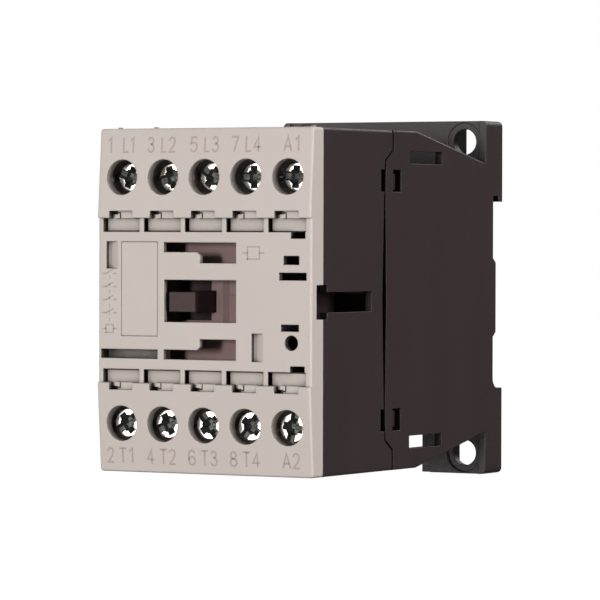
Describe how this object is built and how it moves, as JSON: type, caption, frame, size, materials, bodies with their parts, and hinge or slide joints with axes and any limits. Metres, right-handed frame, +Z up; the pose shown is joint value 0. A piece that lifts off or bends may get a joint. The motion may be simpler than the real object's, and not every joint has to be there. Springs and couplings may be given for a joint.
{
  "type": "din rail contactor",
  "caption": "Rail-mounted power contactor with a light grey front cover, dark housings, screw terminals along top and bottom, and a sliding contact carrier.",
  "frame": {"origin": "centre of the four mounting holes, on the flat mounting plane at the back", "axes": "+Y out of the back into the rail or panel, +Z up towards the line terminals, +X to the right seen from the front"},
  "size_m": [0.045, 0.075, 0.068],
  "materials": {
    "cover_grey": "fine-textured moulded light grey",
    "housing_black": "fine-textured moulded warm black",
    "carrier_black": "fine-textured moulded dark grey",
    "arc_cover_brown": "satin moulded dark grey-brown",
    "screw_nickel": "bright nickel plate, dark cross recess",
    "clamp_steel": "zinc plated",
    "contact_copper": "rolled copper alloy",
    "coil_terminal_brass": "rolled brass",
    "contact_silver": "silver alloy, satin",
    "spring_steel": "drawn stainless wire",
    "lamination_steel": "stacked laminations with ground pole faces",
    "pin_steel": "turned steel",
    "ring_copper": "stamped copper",
    "bobbin_white": "moulded off-white",
    "winding_enamel": "enamelled copper wire under clear tape",
    "damper_rubber": "matt rubber",
    "latch_black": "satin moulded black"
  },
  "bodies": {
    "housing": {"front_cover": "cover_grey", "marking_plate": "cover_grey", "contact_housing": "housing_black", "base_housing": "housing_black", "arc_cover": "arc_cover_brown", "fixed_contact_l1": "contact_copper", "fixed_contact_l2": "contact_copper", "fixed_contact_l3": "contact_copper", "fixed_contact_l4": "contact_copper", "fixed_contact_t1": "contact_copper", "fixed_contact_t2": "contact_copper", "fixed_contact_t3": "contact_copper", "fixed_contact_t4": "contact_copper", "coil_terminal_a1": "coil_terminal_brass", "coil_terminal_a2": "coil_terminal_brass", "fixed_contact_tips": "contact_silver", "return_springs": "spring_steel", "rail_latch_spring": "spring_steel", "fixed_core": "lamination_steel", "core_rivets": "pin_steel", "shading_rings": "ring_copper", "coil_bobbin": "bobbin_white", "coil_winding": "winding_enamel", "core_damper": "damper_rubber"},
    "clamp_l1": {"terminal_clamp_l1": "clamp_steel"},
    "screw_l1": {"terminal_screw_l1": "screw_nickel"},
    "clamp_l2": {"terminal_clamp_l2": "clamp_steel"},
    "screw_l2": {"terminal_screw_l2": "screw_nickel"},
    "clamp_l3": {"terminal_clamp_l3": "clamp_steel"},
    "screw_l3": {"terminal_screw_l3": "screw_nickel"},
    "clamp_l4": {"terminal_clamp_l4": "clamp_steel"},
    "screw_l4": {"terminal_screw_l4": "screw_nickel"},
    "clamp_a1": {"terminal_clamp_a1": "clamp_steel"},
    "screw_a1": {"terminal_screw_a1": "screw_nickel"},
    "clamp_t1": {"terminal_clamp_t1": "clamp_steel"},
    "screw_t1": {"terminal_screw_t1": "screw_nickel"},
    "clamp_t2": {"terminal_clamp_t2": "clamp_steel"},
    "screw_t2": {"terminal_screw_t2": "screw_nickel"},
    "clamp_t3": {"terminal_clamp_t3": "clamp_steel"},
    "screw_t3": {"terminal_screw_t3": "screw_nickel"},
    "clamp_t4": {"terminal_clamp_t4": "clamp_steel"},
    "screw_t4": {"terminal_screw_t4": "screw_nickel"},
    "clamp_a2": {"terminal_clamp_a2": "clamp_steel"},
    "screw_a2": {"terminal_screw_a2": "screw_nickel"},
    "carrier": {"contact_carrier": "carrier_black", "armature": "lamination_steel", "armature_pin": "pin_steel", "contact_spring_1": "spring_steel", "contact_spring_2": "spring_steel", "contact_spring_3": "spring_steel", "contact_spring_4": "spring_steel"},
    "bridge_1": {"contact_bridge_1": "contact_copper", "bridge_tips_1": "contact_silver"},
    "bridge_2": {"contact_bridge_2": "contact_copper", "bridge_tips_2": "contact_silver"},
    "bridge_3": {"contact_bridge_3": "contact_copper", "bridge_tips_3": "contact_silver"},
    "bridge_4": {"contact_bridge_4": "contact_copper", "bridge_tips_4": "contact_silver"},
    "latch": {"rail_latch": "latch_black"}
  },
  "joints": [
    {"name": "carrier_slide", "type": "slide", "parent": "housing", "child": "carrier", "axis": [0, 1, 0], "range_m": [0, 0.0035], "stiffness_N_per_m": 150, "springref_m": -0.004, "deforming": ["return_springs"]},
    {"name": "bridge_1_overtravel", "type": "slide", "parent": "carrier", "child": "bridge_1", "axis": [0, -1, 0], "range_m": [0, 0.001], "deforming": ["contact_spring_1"]},
    {"name": "bridge_2_overtravel", "type": "slide", "parent": "carrier", "child": "bridge_2", "axis": [0, -1, 0], "range_m": [0, 0.001], "deforming": ["contact_spring_2"]},
    {"name": "bridge_3_overtravel", "type": "slide", "parent": "carrier", "child": "bridge_3", "axis": [0, -1, 0], "range_m": [0, 0.001], "deforming": ["contact_spring_3"]},
    {"name": "bridge_4_overtravel", "type": "slide", "parent": "carrier", "child": "bridge_4", "axis": [0, -1, 0], "range_m": [0, 0.001], "deforming": ["contact_spring_4"]},
    {"name": "clamp_l1_slide", "type": "slide", "parent": "housing", "child": "clamp_l1", "axis": [0, 1, 0], "range_m": [0, 0.0042]},
    {"name": "screw_l1_turn", "type": "hinge", "parent": "clamp_l1", "child": "screw_l1", "pos_m": [-0.0175, -0.067, 0.0225], "axis": [0, 1, 0], "range_deg": [0, 2520]},
    {"name": "clamp_l2_slide", "type": "slide", "parent": "housing", "child": "clamp_l2", "axis": [0, 1, 0], "range_m": [0, 0.0042]},
    {"name": "screw_l2_turn", "type": "hinge", "parent": "clamp_l2", "child": "screw_l2", "pos_m": [-0.00875, -0.067, 0.0225], "axis": [0, 1, 0], "range_deg": [0, 2520]},
    {"name": "clamp_l3_slide", "type": "slide", "parent": "housing", "child": "clamp_l3", "axis": [0, 1, 0], "range_m": [0, 0.0042]},
    {"name": "screw_l3_turn", "type": "hinge", "parent": "clamp_l3", "child": "screw_l3", "pos_m": [0, -0.067, 0.0225], "axis": [0, 1, 0], "range_deg": [0, 2520]},
    {"name": "clamp_l4_slide", "type": "slide", "parent": "housing", "child": "clamp_l4", "axis": [0, 1, 0], "range_m": [0, 0.0042]},
    {"name": "screw_l4_turn", "type": "hinge", "parent": "clamp_l4", "child": "screw_l4", "pos_m": [0.00875, -0.067, 0.0225], "axis": [0, 1, 0], "range_deg": [0, 2520]},
    {"name": "clamp_a1_slide", "type": "slide", "parent": "housing", "child": "clamp_a1", "axis": [0, 1, 0], "range_m": [0, 0.0042]},
    {"name": "screw_a1_turn", "type": "hinge", "parent": "clamp_a1", "child": "screw_a1", "pos_m": [0.0175, -0.067, 0.0225], "axis": [0, 1, 0], "range_deg": [0, 2520]},
    {"name": "clamp_t1_slide", "type": "slide", "parent": "housing", "child": "clamp_t1", "axis": [0, 1, 0], "range_m": [0, 0.0042]},
    {"name": "screw_t1_turn", "type": "hinge", "parent": "clamp_t1", "child": "screw_t1", "pos_m": [-0.0175, -0.067, -0.0225], "axis": [0, 1, 0], "range_deg": [0, 2520]},
    {"name": "clamp_t2_slide", "type": "slide", "parent": "housing", "child": "clamp_t2", "axis": [0, 1, 0], "range_m": [0, 0.0042]},
    {"name": "screw_t2_turn", "type": "hinge", "parent": "clamp_t2", "child": "screw_t2", "pos_m": [-0.00875, -0.067, -0.0225], "axis": [0, 1, 0], "range_deg": [0, 2520]},
    {"name": "clamp_t3_slide", "type": "slide", "parent": "housing", "child": "clamp_t3", "axis": [0, 1, 0], "range_m": [0, 0.0042]},
    {"name": "screw_t3_turn", "type": "hinge", "parent": "clamp_t3", "child": "screw_t3", "pos_m": [0, -0.067, -0.0225], "axis": [0, 1, 0], "range_deg": [0, 2520]},
    {"name": "clamp_t4_slide", "type": "slide", "parent": "housing", "child": "clamp_t4", "axis": [0, 1, 0], "range_m": [0, 0.0042]},
    {"name": "screw_t4_turn", "type": "hinge", "parent": "clamp_t4", "child": "screw_t4", "pos_m": [0.00875, -0.067, -0.0225], "axis": [0, 1, 0], "range_deg": [0, 2520]},
    {"name": "clamp_a2_slide", "type": "slide", "parent": "housing", "child": "clamp_a2", "axis": [0, 1, 0], "range_m": [0, 0.0042]},
    {"name": "screw_a2_turn", "type": "hinge", "parent": "clamp_a2", "child": "screw_a2", "pos_m": [0.0175, -0.067, -0.0225], "axis": [0, 1, 0], "range_deg": [0, 2520]},
    {"name": "rail_latch_slide", "type": "slide", "parent": "housing", "child": "latch", "axis": [0, 0, -1], "range_m": [0, 0.0025], "stiffness_N_per_m": 800, "springref_m": -0.002, "deforming": ["rail_latch_spring"]}
  ],
  "couplings": [
    {"joint": "bridge_1_overtravel", "follows": "carrier_slide", "ratio": 0.28571},
    {"joint": "bridge_2_overtravel", "follows": "carrier_slide", "ratio": 0.28571},
    {"joint": "bridge_3_overtravel", "follows": "carrier_slide", "ratio": 0.28571},
    {"joint": "bridge_4_overtravel", "follows": "carrier_slide", "ratio": 0.28571},
    {"joint": "screw_l1_turn", "follows": "clamp_l1_slide", "rad_per_m": 10472},
    {"joint": "screw_l2_turn", "follows": "clamp_l2_slide", "rad_per_m": 10472},
    {"joint": "screw_l3_turn", "follows": "clamp_l3_slide", "rad_per_m": 10472},
    {"joint": "screw_l4_turn", "follows": "clamp_l4_slide", "rad_per_m": 10472},
    {"joint": "screw_a1_turn", "follows": "clamp_a1_slide", "rad_per_m": 10472},
    {"joint": "screw_t1_turn", "follows": "clamp_t1_slide", "rad_per_m": 10472},
    {"joint": "screw_t2_turn", "follows": "clamp_t2_slide", "rad_per_m": 10472},
    {"joint": "screw_t3_turn", "follows": "clamp_t3_slide", "rad_per_m": 10472},
    {"joint": "screw_t4_turn", "follows": "clamp_t4_slide", "rad_per_m": 10472},
    {"joint": "screw_a2_turn", "follows": "clamp_a2_slide", "rad_per_m": 10472}
  ]
}
